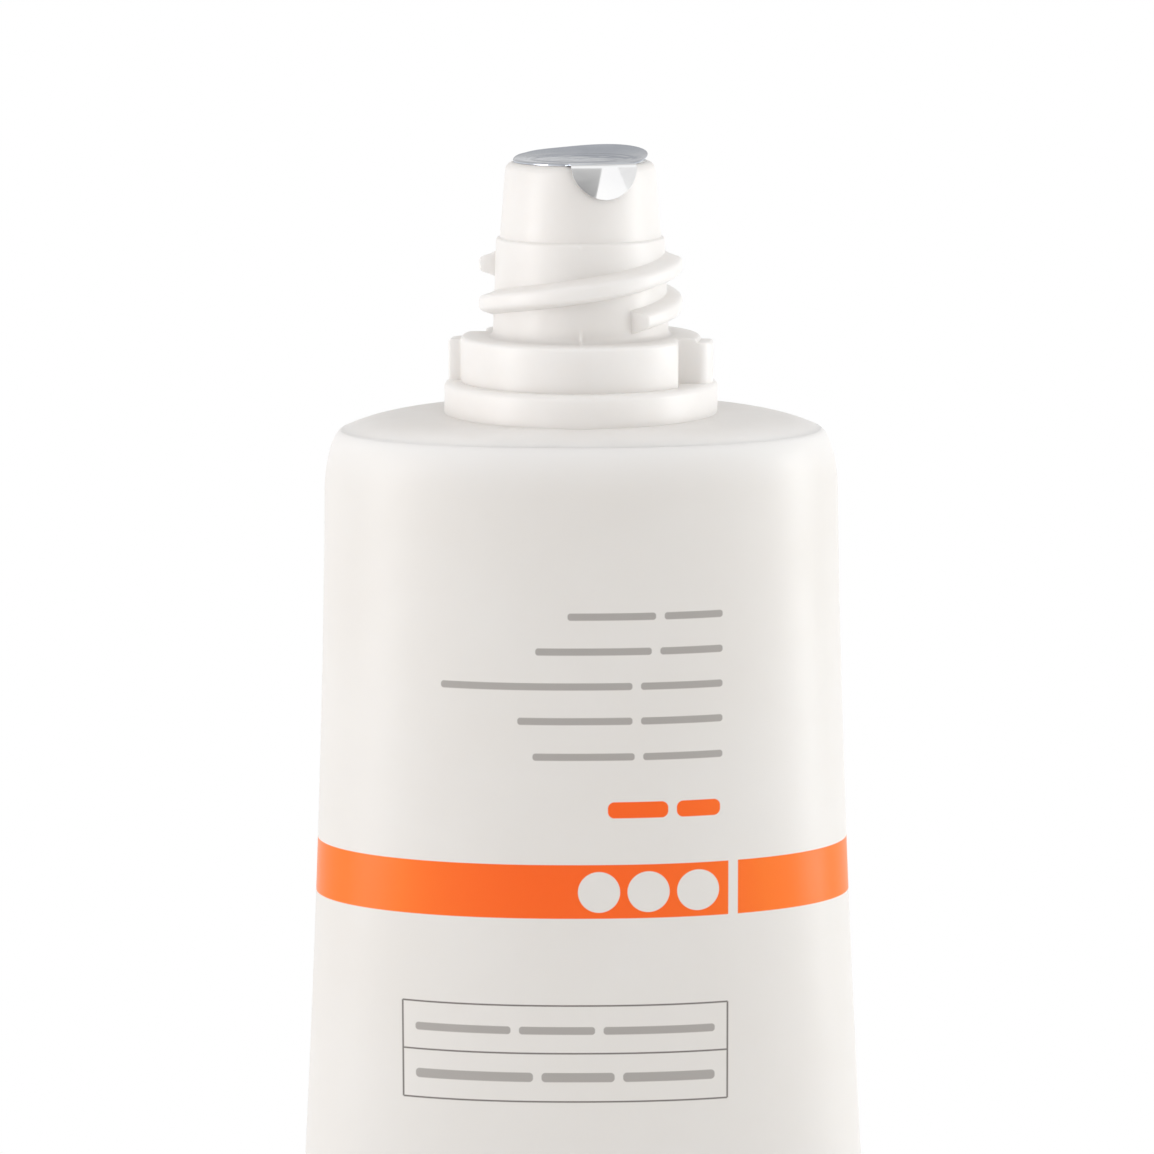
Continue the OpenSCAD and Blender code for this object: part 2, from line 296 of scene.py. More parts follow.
# %% Sleeve piece
rib_pitch, rib_depth = 1.0, 0.09


def crimp_rows(columns):
    """Rows of the pressed strip, whose half depth waves between its two plain edges."""
    a, b = half_axes(np.full_like(crimp_s, body_l))
    along = crimp_s - body_l
    ends = np.clip(np.minimum(along - 0.7, crimp_h - 0.6 - along) / 0.3, 0, 1)
    wave = rib_depth * (0.5 - 0.5 * np.cos(2 * np.pi * along / rib_pitch)) * ends
    n = np.full_like(crimp_s, crimp_n)
    return oval_rows(weld_z - crimp_s, a - skin, b - skin - wave, n, columns)


sleeve_grid = np.concatenate(
    [
        side_rows(inner_s[::-1], sleeve_wall, sleeve_columns),
        corner_rows(corner_parts[-2::-1], sleeve_wall, sleeve_columns),
        corner_rows(corner_parts, skin, sleeve_columns),
        side_rows(side_s[1:], skin, sleeve_columns),
        crimp_rows(sleeve_columns)[1:],
    ]
)
sleeve = grid_piece("printed_sleeve", [(sleeve_grid, False)], "tube", "tube_sleeve")

# %% [markdown]
# ## The head
# Shoulder, base ring, stop collar, neck, thread and nozzle are one injection moulding. Each form
# is its own closed grid, set a little into its neighbour: the shoulder is a loft from oval to
# round, and the ring and the neck with its nozzle are turned profiles. Small roundings on every
# edge give the soft highlights of moulded plastic.

# %% Shoulder and base ring
head_columns = 288


def shoulder_rows(t, drop):
    """Rows on the shoulder, from t = 0 at the ring to 1 at the weld line."""
    a, b = half_axes(np.zeros(1))
    t = np.asarray(t)[:, None]
    n = 2 + 0.15 * t
    wide = ring_r + (a[0] - corner_in - ring_r) * t
    deep = ring_r + (b[0] - corner_in - ring_r) * t
    power, _ = shoulder_form(head_columns)
    return oval_rows(ring_z - ring_rise * t**power - drop, wide, deep, n, head_columns)


skirt_in = sleeve_wall + 0.9
shoulder_grid = np.concatenate(
    [
        oval_rows([ring_z + 0.05], [ring_r - 1], [ring_r - 1], [2], head_columns),
        shoulder_rows(np.linspace(0.1, 1, 24), 0.0),
        corner_rows(np.linspace(0, 1, 12), sleeve_wall, head_columns),
        corner_rows(np.linspace(1, 0, 8), skirt_in, head_columns),
        shoulder_rows(np.linspace(0.8, 0.3, 6), 1.4),
        oval_rows([ring_z - 1.2], [ring_r - 2.4], [ring_r - 2.4], [2], head_columns),
    ]
)
core_r = np.hypot(9.1, 3.4) - 1.4
ring_profile = np.concatenate(
    [
        [[core_r, ring_z - 1.6], [ring_r - 1.6, ring_z - 1.6], [ring_r, ring_z - 0.5]],
        arc_points((ring_r - 0.6, collar_z - 0.6), 0.6, 0, 90, 8),
        [[core_r, collar_z]],
    ]
)
ring_grid = turned(ring_profile[::-1], head_columns)
print("ring radius", ring_r, "inner radius", round(core_r, 2))

# %% [markdown]
# ### Stop collar
# Looking down, the collar is a round drum with two notches and two lobes, the same after half a
# turn. A lug inside the cap rides through the notch and comes up against the lobe, which is how
# an oval cap always stops in line with the oval tube. The outline is drawn as straight runs and
# arcs, spaced evenly along its length, and smoothed over half a millimetre to round its corners.

# %% Stop collar
collar_r, lobe_r, notch_x, notch_y = 11.35, 12.55, 9.1, 3.4
lobe_top, collar_top = neck_z - 0.4, neck_z
collar_core_r = core_r + 0.3


def circle_run(radius, from_deg, to_deg, steps):
    """Points on a circle round the axis, in the plane."""
    a = np.radians(np.linspace(from_deg, to_deg, steps))
    return np.stack([radius * np.cos(a), radius * np.sin(a)], -1)


def even_run(points, count, closed, passes):
    """Points evenly spaced along a run, each then averaged with its neighbours some times."""
    length = np.append(0, np.cumsum(np.hypot(*np.diff(points, axis=0).T)))
    even = np.linspace(0, length[-1], count, endpoint=not closed)
    run = np.stack([np.interp(even, length, points[:, k]) for k in (0, 1)], -1)
    for _ in range(passes):
        mean = (np.roll(run, 1, 0) + run + np.roll(run, -1, 0)) / 3
        run = mean if closed else np.concatenate([run[:1], mean[1:-1], run[-1:]])
    return run


def collar_outline(count):
    """Closed outline of drum, notches and lobes, with evenly spaced and smoothed points."""
    crown = np.sqrt(lobe_r**2 - 2.0**2)
    notch_deg = np.degrees(np.arccos(notch_x / collar_r))
    half = np.concatenate(
        [
            circle_run(collar_r, -90, -notch_deg, 60),
            [[notch_x, -notch_y]],
            arc_points((crown - 1.4, -2.0), 1.4, -90, 90, 8),
            circle_run(lobe_r, np.degrees(np.arcsin(-2.0 / lobe_r)), 0, 8)[1:],
            circle_run(collar_r, 0, 90, 90)[:-1],
        ]
    )
    return even_run(np.concatenate([half, -half, half[:1]]), count, True, 2)


def collar_rows(outline):
    """Rows of the collar: up the wall, over the lobes' edge, over the drum's edge, and inside."""
    reach = np.hypot(*outline.T)
    unit = outline / reach[:, None]
    lobe = np.clip((reach - collar_r) / 0.3, 0, 1)
    drum = np.minimum(reach, collar_r)
    a = np.radians(np.linspace(0, 90, 7))[1:]
    rows = [(reach, collar_z - 0.4), (reach, lobe_top - 0.3)]
    rows += [(reach - lobe * 0.3 * (1 - np.cos(k)), lobe_top - 0.3 * (1 - np.sin(k))) for k in a]
    rows += [(drum, lobe_top + 0.01), (drum, collar_top - 0.35)]
    rows += [(drum - 0.35 * (1 - np.cos(k)), collar_top - 0.35 * (1 - np.sin(k))) for k in a]
    rows += [(drum * 0 + collar_core_r, collar_top), (drum * 0 + collar_core_r, collar_z - 0.4)]
    return np.stack([np.column_stack([unit * r[:, None], np.full(len(r), z)]) for r, z in rows])


collar_grid = collar_rows(collar_outline(720))[::-1]
hair_w, hair_h = 0.11, 0.07
parting = np.exp(-((collar_grid[..., 0] / hair_w) ** 2)) * (collar_grid[..., 2] > collar_top - 0.05)
collar_grid[..., 2] += hair_h * parting
print("collar", collar_grid.shape[0], "rows of", collar_grid.shape[1], "points")

# %% [markdown]
# ### Neck, nozzle and outlet
# One profile turned round the axis: a small fillet where the neck leaves the collar, the ledge at
# its top, the slightly tapered nozzle with a rounded rim, and the bore inside. The halves of the
# mould met at the front and the back, and they leave a hair of flash at the fillet and the ledge.

# %% Neck and nozzle
neck_foot_r, neck_top_r = 8.3, 7.97
nozzle_foot_r, nozzle_top_r, rim_edge = 7.6, 7.1, 0.9
neck_bore_r = 6.5
neck_outside = np.concatenate(
    [
        [[neck_foot_r + 0.5, neck_z - 0.3]],
        arc_points((neck_foot_r + 0.55, neck_z + 0.54), 0.55, -90, -90, 8),
        np.linspace([neck_foot_r, neck_z + 0.6], [neck_top_r, nozzle_z - 0.3], 20),
        arc_points((neck_top_r - 0.25, nozzle_z - 0.25), 0.25, 0, 90, 6),
        arc_points((nozzle_foot_r + 0.12, nozzle_z + 0.12), 0.12, -90, -90, 5),
        np.linspace([nozzle_foot_r, nozzle_z + 0.2], [nozzle_top_r, rim_z - rim_edge], 16),
        arc_points((nozzle_top_r - rim_edge, rim_z - rim_edge), rim_edge, 0, 90, 12)[1:],
    ]
)
neck_inside = np.array(
    [
        [outlet_r + 0.2, rim_z],
        [outlet_r + 0.06, rim_z - 0.06],
        [outlet_r, rim_z - 0.2],
        [outlet_r, rim_z - 6.4],
        [neck_bore_r, rim_z - 8.6],
        [neck_bore_r, neck_z - 1.5],
        [core_r + 0.2, neck_z - 1.5],
        [core_r + 0.2, neck_z - 0.3],
    ]
)
neck_grid = turned(np.concatenate([neck_outside, neck_inside])[::-1], 512)
neck_angle = np.arctan2(neck_grid[..., 1], neck_grid[..., 0])
flash_place = np.exp(-(((np.abs(neck_angle) - np.pi / 2) / np.radians(0.7)) ** 2))
flash_height = np.exp(-(((neck_grid[..., 2] - neck_z - 0.5) / 0.6) ** 2))
flash_height += 0.5 * np.exp(-(((neck_grid[..., 2] - nozzle_z + 0.3) / 0.35) ** 2))
outside = np.hypot(neck_grid[..., 0], neck_grid[..., 1]) > 7.7
flash = 1 + 0.02 * flash_place * flash_height * outside
neck_grid[..., :2] *= flash[..., None]
print("rim", round(rim_z, 2), "mm up, neck", neck_top_r, "to", neck_foot_r, "mm in radius")

# %% [markdown]
# ### The two-start thread
# Two ridges climb the neck side by side, half a turn apart, so the cap goes home in little more
# than half a turn. A ridge is one section, a trapezoid with rounded corners and a small fillet at
# its root, swept along a helix. It begins and ends in flat faces, where the mould opens.

# %% Thread
crest_r, root_r = 9.63, 7.4
lead = 2 * 3.75
side_z = 141.93
last_deg = 268.5
half_section = [[1.7, root_r], [1.3, 7.95], [1.1, 8.2], [0.64, crest_r]]
section = np.array([[-w, r] for w, r in half_section] + half_section[::-1])
section = even_run(section, 36, False, 3)


def thread_rows(steps):
    """Helix of sections: height grows with the angle from the front, and each face is a plane."""
    w, r = section.T
    first_deg = 33.5 + 4.2 * (r - 8.05)
    k = np.linspace(0, 1, steps)[:, None]
    deg = first_deg + (last_deg - first_deg) * k
    from_end = np.minimum(deg - first_deg, last_deg - deg) * np.radians(1) * crest_r
    eased = root_r + (r - root_r) * (1 - 0.07 * np.clip(1 - from_end / 0.3, 0, 1) ** 2)
    z = side_z + lead * (deg - 90) / 360 + w
    a = np.radians(deg)
    return np.stack([eased * np.sin(a), -eased * np.cos(a), z], -1)


thread_grid = thread_rows(420)
print("thread climbs", round(float(np.ptp(thread_grid[:, 0, 2])), 2), "mm")

# %% [markdown]
# ### One moulding
# The forms are closed solids that run a little into each other, so a boolean union makes them one
# skin with nothing inside. Light that scatters in the plastic then passes from form to form, as in
# the real moulding, and the joints between them don't show as dark lines.

# %% Union of the head


def joined(name, grids):
    """One mesh from closed grids, by exact boolean unions, one after the other."""
    forms = []
    for k, (grid, wrap_rows) in enumerate(grids):
        form = bpy.data.objects.new(f"{name}_{k}", grid_mesh(f"{name}_{k}", [(grid, wrap_rows)]))
        bpy.context.scene.collection.objects.link(form)
        forms.append(form)
    for form in forms[1:]:
        union = forms[0].modifiers.new(form.name, "BOOLEAN")
        union.operation = "UNION"
        union.solver = "EXACT"
        union.object = form
    seen = forms[0].evaluated_get(bpy.context.evaluated_depsgraph_get())
    mesh = bpy.data.meshes.new_from_object(seen)
    for form in forms:
        bpy.data.objects.remove(form)
    mesh.name = name
    return mesh


head_mesh = joined(
    "moulded_head",
    [
        (neck_grid, True),
        (collar_grid, True),
        (ring_grid, True),
        (shoulder_grid, True),
        (thread_grid, False),
        (thread_grid * [-1, -1, 1], False),
    ],
)
head = finished("moulded_head", head_mesh, "tube", "tube_head", 35.0)

# %% [markdown]
# ## The foil seal
# The disc is thin aluminium, bonded to the rim by a ring of film. The rim has pressed a round line
# into it, its loose edge curls up at the back right, and a tongue leads to the fold of the tab.
# Radius and angle are the two parameters. The curl, the pressed ring and a few creases are added
# heights, and the same surface is used twice, a foil's thickness apart.

# %% Foil disc
tab_hinge = hinge_place("tab_lift")
tab_dir = np.arctan2(tab_hinge[1], tab_hinge[0])
tab_out = np.array([np.cos(tab_dir), np.sin(tab_dir), 0.0])
tab_side = np.array([-np.sin(tab_dir), np.cos(tab_dir), 0.0])
foil_r, foil_t, tab_w, tab_l = 6.35, 0.1, 6.3, 3.2
hinge_out = float(tab_hinge @ tab_out)


def foil_edge(a):
    """Distance from the axis to the foil's edge: a circle with a tongue out to the fold."""
    off = np.abs((a - tab_dir + np.pi) % (2 * np.pi) - np.pi)
    ahead = np.where(off < 1.4, hinge_out / np.cos(np.minimum(off, 1.4)), 0)
    beside = tab_w / 2 / np.sin(np.maximum(off, 0.02))
    return np.maximum(foil_r, np.minimum(ahead, beside))


curl_deg, curl_up = 56, 0.92
ripple_deg, ripple_up = 140, 0.3
pressed_r, hollow_r = 4.72, 4.35


def foil_height(a, t, r):
    """Curl of the loose edge, the line pressed by the rim, and creases across the free middle."""
    outer = np.clip((t - 0.7) / 0.3, 0, 1)
    curl = curl_up * np.maximum(0, np.cos(a - np.radians(curl_deg))) ** 1.25 * outer**1.8
    off = (a + 2 * np.pi) % (2 * np.pi) - np.radians(ripple_deg)
    curl = curl + ripple_up * np.exp(-((off / 0.5) ** 2)) * outer**2
    pressed = 0.08 * np.exp(-(((r - pressed_r) / 0.18) ** 2)) - 0.04 * np.exp(-(((r - hollow_r) / 0.25) ** 2))
    x, y = r * np.cos(a), r * np.sin(a)
    free = np.clip((4.6 - r) / 1.5, 0, 1)
    crease = 0.05 * np.abs(np.sin(0.9 * x + 0.6 * y + 0.6)) + 0.04 * np.abs(np.sin(0.5 * x - 1.1 * y))
    loose = np.clip(curl / 0.2, 0, 1)
    settled = 0.12 * (1 - loose) * np.clip((t - 0.93) / 0.07, 0, 1) ** 1.5
    settled = settled * np.clip((foil_r + 0.5 - r) / 0.4, 0, 1)
    return curl + 0.035 + pressed + crease * free - settled


def foil_rows(up, count, columns):
    """Rows of the foil from near its middle out to its edge."""
    t = np.linspace(0.02, 1, count)[:, None]
    a = np.linspace(0, 2 * np.pi, columns, endpoint=False)[None, :] + tab_dir
    r = foil_edge(a) * t
    z = foil_z + up + foil_height(a, t, r)
    return np.stack([r * np.cos(a), r * np.sin(a), z], -1)


foil_grid = np.concatenate([foil_rows(foil_t, 60, 360), foil_rows(0.0, 60, 360)[::-1]])
foil = grid_piece("seal_foil_disc", [(foil_grid, False)], "foil", "seal_foil", 60.0)

# %% [markdown]
# ## The pull tab
# The tab is the same foil, cut half round and folded down over the rim. Thumb and mould have
# creased it into three facets that stand at slightly different angles, so each one mirrors another
# part of the studio. The grid runs across the tab and down from the fold.

# %% Pull tab


def tab_rows(lift, down_count, across_count):
    """Half-round tab: v runs down from the fold, u across, bent round the fold and creased.

    Each facet moves out or in by a slope times the distance beyond its crease line.
    """
    v = np.linspace(0, 1, down_count)[:, None]
    u = np.linspace(-1, 1, across_count)[None, :]
    flat_l, bend_r = 0.25, 0.25
    lean, skew = 0.06, 0.08
    bend_l = bend_r * np.pi / 2
    path_l = flat_l + bend_l + tab_l - bend_r
    path = path_l * v
    below = np.clip((path - path_l + tab_w / 2) / (tab_w / 2), 0, 1)
    side = u * tab_w / 2 * np.sqrt(np.maximum(1 - below**2, 0.0004))
    turn = np.clip((path - flat_l) / bend_r, 0, np.pi / 2)
    hang = np.maximum(path - flat_l - bend_l, 0)
    fall = 0.4 * np.clip(path / flat_l, 0, 1) + 0.6 * np.clip((path - flat_l) / 3.2, 0, 1)
    crease = -1.2 * v
    left, right = np.clip(crease - side, 0, None), np.clip(side - crease, 0, None)
    corner = np.clip(side - 1.3 - 0.35 * hang, 0, None)
    out = np.minimum(path, flat_l) + (bend_r + lift) * np.sin(turn) + lean * hang
    facet = 0.12 - 0.21 * left - 0.15 * right + 0.24 * corner
    out = out + fall * facet
    z = foil_z + (bend_r + lift) * np.cos(turn) - bend_r - hang
    flat = (hinge_out - 0.06 + out)[..., None] * tab_out + (side + skew * hang)[..., None] * tab_side
    return flat + (z + 0 * side)[..., None] * np.array([0, 0, 1.0])


def tab_shell(down_count, across_count):
    """The outer face and, a foil's thickness behind it, the inner face, joined round the rim."""
    outer = tab_rows(foil_t, down_count, across_count)
    inner = tab_rows(0.0, down_count, across_count)
    return np.concatenate([outer, inner[:, ::-1]], axis=1)


tab = grid_piece("pull_tab_foil", [(tab_shell(40, 61), False)], "tab", "pull_tab", 60.0)

# %% [markdown]
# ## The cream
# The fill shows only down the open outlet, once the foil is lifted. It stands just below the
# shoulder, with the soft swirl that the filling nozzle leaves on top.

# %% Cream
cream_low, cream_high = node_box("cream")
cream_top_s = weld_z - cream_high[2]
cream_end_s = weld_z - cream_low[2]


def cream_rows(columns):
    """Rows of the fill: up inside the sleeve and in over a top that swirls slightly."""
    inset = sleeve_wall + 0.3
    s = np.linspace(cream_end_s, cream_top_s + inset, 40)
    wall = side_rows(s, inset, columns)
    t = np.linspace(1, 0.02, 30)[1:]
    a, b = half_axes(np.full_like(t, cream_top_s + inset))
    z = np.full_like(t, cream_high[2] - inset)
    top = oval_rows(z, (a - inset) * t, (b - inset) * t, 2 + 0.15 * t, columns)
    turn = np.arctan2(top[..., 1], top[..., 0])
    swirl = 0.35 + 0.25 * np.sin(2 * turn + 9 * t[:, None])
    top[..., 2] += swirl * np.sin(np.pi * np.clip(t, 0, 1))[:, None]
    return np.concatenate([wall, top])[::-1]


cream = grid_piece("cream_fill", [(cream_rows(128), False)], "tube", "cream", 60.0)

# %% [markdown]
# ## Shared effects as node groups
# Each effect is a shader node group with named sockets, built once. The first makes the fine grain
# of a mould or an extruder and the faint clouding of white plastic. The second is the mask of a
# paler band at the weld, painted light over the shade of the crease there. The third is a
# soft-edged printed box, which draws the band and the frame, and the fourth is a printed disc.

# %% Node helpers


def feed(socket, value):
    """Links an input to another node's output, or sets it to a number or a colour."""
    if isinstance(value, bpy.types.NodeSocket):
        socket.id_data.links.new(value, socket)
    else:
        socket.default_value = value


def calc(operation, *values, clamp=False):
    """A math node on numbers and outputs, in the node tree of those outputs."""
    tree = next(value.id_data for value in values if isinstance(value, bpy.types.NodeSocket))
    node = tree.nodes.new("ShaderNodeMath")
    node.operation = operation
    node.use_clamp = clamp
    for socket, value in zip(node.inputs, values):
        feed(socket, value)
    return node.outputs[0]


def mix_color(factor, first, second):
    """A colour between two others, each a colour or an output."""
    node = factor.id_data.nodes.new("ShaderNodeMix")
    node.data_type = "RGBA"
    for k, value in ((0, factor), (6, first), (7, second)):
        feed(node.inputs[k], value)
    return node.outputs[2]


def new_group(name, inputs, outputs):
    """A node group whose inputs are named numbers, or None for a place; all outputs are values."""
    group = bpy.data.node_groups.new(name, "ShaderNodeTree")
    for label, value in inputs.items():
        kind = "NodeSocketVector" if value is None else "NodeSocketFloat"
        socket = group.interface.new_socket(label, in_out="INPUT", socket_type=kind)
        if value is not None:
            socket.default_value = value
    for label in outputs:
        group.interface.new_socket(label, in_out="OUTPUT", socket_type="NodeSocketFloat")
    return group, group.nodes.new("NodeGroupInput").outputs, group.nodes.new("NodeGroupOutput").inputs


def noise(place, size, detail):
    """Noise at a place, with a size that is a number or an output."""
    node = place.id_data.nodes.new("ShaderNodeTexNoise")
    node.inputs["Detail"].default_value = detail
    feed(node.inputs["Vector"], place)
    feed(node.inputs["Scale"], size)
    return node.outputs["Fac"]


# %% Moulded grain
grain_group, grain_in, grain_out = new_group(
    "moulded_grain",
    {"Place": None, "Size": 9000.0, "Cloud Size": 90.0},
    ["Height", "Cloud", "Gloss"],
)
feed(grain_out["Height"], noise(grain_in["Place"], grain_in["Size"], 3.0))
feed(grain_out["Cloud"], noise(grain_in["Place"], grain_in["Cloud Size"], 4.0))
smear_size = calc("MULTIPLY", grain_in["Cloud Size"], 3.0)
feed(grain_out["Gloss"], noise(grain_in["Place"], smear_size, 2.0))

# %% Weld band of painted light
weld_light_group, weld_light_in, weld_light_out = new_group(
    "painted_weld_light", {"Z": 0.0, "Weld Z": weld_z * MM, "Reach": 0.001}, ["Mask"]
)
# Mask that lifts the colour near the weld: painted light over the shade of the crease there.
from_weld = calc("ABSOLUTE", calc("SUBTRACT", weld_light_in["Z"], weld_light_in["Weld Z"]))
near_weld = calc("SUBTRACT", 1.0, calc("DIVIDE", from_weld, weld_light_in["Reach"]), clamp=True)
feed(weld_light_out["Mask"], calc("MULTIPLY", near_weld, near_weld))

# %% Printed box and disc
SOFT_EDGE = 0.00008


def soft_step(value, soft):
    """1 where value is below 0, fading to 0 over the soft distance."""
    return calc("SUBTRACT", 0.5, calc("DIVIDE", value, soft), clamp=True)


def beyond(value, low, high):
    """How far a value is outside two limits, negative between them."""
    return calc("MAXIMUM", calc("SUBTRACT", low, value), calc("SUBTRACT", value, high))


def plane_length(x, z):
    """Length of a vector in the plane."""
    return calc("SQRT", calc("ADD", calc("MULTIPLY", x, x), calc("MULTIPLY", z, z)))


box_group, box_in, box_out = new_group(
    "printed_box",
    dict.fromkeys(("X", "Z", "Left", "Right", "Low", "High"), 0.0) | {"Soft": SOFT_EDGE},
    ["Mask"],
)
across = beyond(box_in["X"], box_in["Left"], box_in["Right"])
along = beyond(box_in["Z"], box_in["Low"], box_in["High"])
feed(box_out["Mask"], soft_step(calc("MAXIMUM", across, along), box_in["Soft"]))

disc_group, disc_in, disc_out = new_group(
    "printed_disc",
    dict.fromkeys(("X", "Z", "Centre X", "Centre Z", "Radius"), 0.0) | {"Soft": SOFT_EDGE},
    ["Mask"],
)
disc_x = calc("SUBTRACT", disc_in["X"], disc_in["Centre X"])
disc_z = calc("SUBTRACT", disc_in["Z"], disc_in["Centre Z"])
disc_side = calc("SUBTRACT", plane_length(disc_x, disc_z), disc_in["Radius"])
feed(disc_out["Mask"], soft_step(disc_side, disc_in["Soft"]))

# %% [markdown]
# ### A row of bars
# The front carries rows of rounded grey bars, each row cut by one or two gaps. All limits across
# are joined by their maximum, so one distance serves the whole row, and taking a radius off that
# distance rounds every end.

# %% Print bars
bars_group, bars_in, bars_out = new_group(
    "print_bars",
    dict.fromkeys(("X", "Z", "Left", "Right", "Middle", "Half Height", "Gap 1", "Gap 2"), 0.0)
    | {"Gap Half Width": 0.0004},
    ["Mask"],
)
beside = beyond(bars_in["X"], bars_in["Left"], bars_in["Right"])
for gap in ("Gap 1", "Gap 2"):
    off = calc("ABSOLUTE", calc("SUBTRACT", bars_in["X"], bars_in[gap]))
    beside = calc("MAXIMUM", beside, calc("SUBTRACT", bars_in["Gap Half Width"], off))
above = calc("ABSOLUTE", calc("SUBTRACT", bars_in["Z"], bars_in["Middle"]))
above = calc("SUBTRACT", above, bars_in["Half Height"])
round_r = calc("MULTIPLY", bars_in["Half Height"], 0.8)
out_x = calc("MAXIMUM", calc("ADD", beside, round_r), 0.0)
out_z = calc("MAXIMUM", calc("ADD", above, round_r), 0.0)
bar_side = calc("SUBTRACT", plane_length(out_x, out_z), round_r)
feed(bars_out["Mask"], soft_step(bar_side, SOFT_EDGE))
print("effects", [group.name for group in bpy.data.node_groups])

# %% [markdown]
# ## Materials
# White tube plastic is translucent: light enters it, spreads and comes out softly, which a little
# subsurface scattering gives. Its skin is satin, so the bump is tiny and the roughness moderate.
# The colour is painted paler along the weld: painted light that fills the shade of the crease
# where sleeve and head meet. The orange ink is painted lighter and more yellow where the tube
# turns away from the eye, a painted sheen.

# %% Material helpers


def new_material(name, **settings):
    """A material with a Principled shader, whose own sockets are set by name."""
    material = bpy.data.materials.new(name)
    material.use_nodes = True
    shader = material.node_tree.nodes["Principled BSDF"]
    for label, value in settings.items():
        shader.inputs[label.replace("_", " ")].default_value = value
    return material, material.node_tree, shader


def place_group(tree, group, values):
    """Outputs of a placed node group, whose inputs are fed by name."""
    node = tree.nodes.new("ShaderNodeGroup")
    node.node_tree = group
    for label, value in values.items():
        feed(node.inputs[label], value)
    return node.outputs


def object_place(tree):
    """The Object coordinate output, in metres."""
    return tree.nodes.new("ShaderNodeTexCoord").outputs["Object"]


def add_bump(shader, height, strength, distance):
    """A Bump node between a height and the shader's normal."""
    bump = height.id_data.nodes.new("ShaderNodeBump")
    for label, value in (("Strength", strength), ("Distance", distance), ("Height", height)):
        feed(bump.inputs[label], value)
    feed(shader.inputs["Normal"], bump.outputs["Normal"])


def remap(value, low, high, at_low, at_high, curve="LINEAR"):
    """Maps a value between two limits onto the range between two others."""
    node = value.id_data.nodes.new("ShaderNodeMapRange")
    node.interpolation_type = curve
    for socket, number in zip(node.inputs, (value, low, high, at_low, at_high)):
        feed(socket, number)
    return node.outputs["Result"]


def spread(value, low, high):
    """Maps a noise value from 0.3 to 0.7 onto low to high."""
    return remap(value, 0.3, 0.7, low, high)


def grained_material(name, sizes, colors, gloss, bump, **settings):
    """A material whose colour, gloss and relief all come from the moulded grain."""
    material, tree, shader = new_material(name, **settings)
    place = object_place(tree)
    size, cloud_size = sizes
    grain = place_group(tree, grain_group, {"Place": place, "Size": size, "Cloud Size": cloud_size})
    color = mix_color(spread(grain["Cloud"], 0.0, 1.0), *colors)
    feed(shader.inputs["Base Color"], color)
    feed(shader.inputs["Roughness"], spread(grain["Gloss"], *gloss))
    add_bump(shader, grain["Height"], *bump)
    return material, tree, shader, place, color


# %% [markdown]
# ### Printed sleeve
# The print is ink on the plastic, without an edge of its own, so it is drawn in the sleeve's
# material from Object coordinates: the band goes all round, and the rest is on the front only.

# %% Sleeve plastic with its print
WHITE_SLEEVE = (0.765, 0.735, 0.7, 1.0)
WHITE_CLOUD = (0.785, 0.76, 0.73, 1.0)
# Paler colour at the weld: painted light over the shade where the sleeve turns in to the head.
SLEEVE_WELD_PAINTED_LIGHT = (0.9, 0.885, 0.87, 1.0)
INK_ORANGE = (1.0, 0.108, 0.006, 1.0)
# Lighter, yellower orange toward the silhouette: a painted sheen.
INK_ORANGE_PAINTED_SHEEN = (1.0, 0.185, 0.012, 1.0)
INK_GREY = (0.075, 0.058, 0.052, 1.0)

sleeve_material, tree, shader = new_material(
    "printed satin plastic",
    Roughness=0.38,
    Subsurface_Weight=0.15,
    Subsurface_Scale=0.0015,
    Subsurface_Radius=(1.0, 0.9, 0.8),
    Specular_IOR_Level=0.35,
)
place = object_place(tree)
split = tree.nodes.new("ShaderNodeSeparateXYZ")
feed(split.inputs[0], place)
x, y, z = split.outputs
front = calc("LESS_THAN", y, 0.0)
grain = place_group(tree, grain_group, {"Place": place, "Size": 5200.0, "Cloud Size": 60.0})

band_low, band_high = (ring_z - 46.05) * MM, (ring_z - 40.85) * MM
gap_left, gap_right = 0.0137, 0.0146
disc_places, disc_drop, disc_r = (1.56, 6.2, 10.85), 43.5, 1.97


def printed_box(left, right, low, high):
    """A box printed on the sleeve, in metres, on front and back."""
    sides = {"Left": left, "Right": right, "Low": low, "High": high}
    return place_group(tree, box_group, {"X": x, "Z": z} | sides)["Mask"]


band = printed_box(-1.0, 1.0, band_low, band_high)
band_gap = calc("MULTIPLY", printed_box(gap_left, gap_right, -1.0, 1.0), front)
band = calc("MULTIPLY", band, calc("SUBTRACT", 1.0, band_gap))
for disc_place in disc_places:
    disc_sizes = {"Centre X": disc_place * MM, "Centre Z": (ring_z - disc_drop) * MM, "Radius": disc_r * MM}
    disc = calc("MULTIPLY", place_group(tree, disc_group, {"X": x, "Z": z} | disc_sizes)["Mask"], front)
    band = calc("MULTIPLY", band, calc("SUBTRACT", 1.0, disc))

frame_left, frame_right = -0.0170, 0.01365
line_w = 0.00016
frame_rows = [(ring_z - drop) * MM for drop in (54.55, 59.24, 64.0)]
lines = []
for row in frame_rows:
    lines.append(printed_box(frame_left, frame_right, row - line_w / 2, row + line_w / 2))
for column in (frame_left, frame_right):
    lines.append(printed_box(column - line_w / 2, column + line_w / 2, frame_rows[2], frame_rows[0]))


def bar_line(left, right, drop, half_height, *gaps):
    """A line of bars on the sleeve; sizes in millimetres, drop below the base ring."""
    gaps = (gaps + (40.0, 40.0))[:2]
    labels = ("Left", "Right", "Middle", "Half Height", "Gap 1", "Gap 2")
    sizes = (left, right, ring_z - drop, half_height, *gaps)
    values = {label: size * MM for label, size in zip(labels, sizes)}
    return place_group(tree, bars_group, {"X": x, "Z": z} | values)["Mask"]


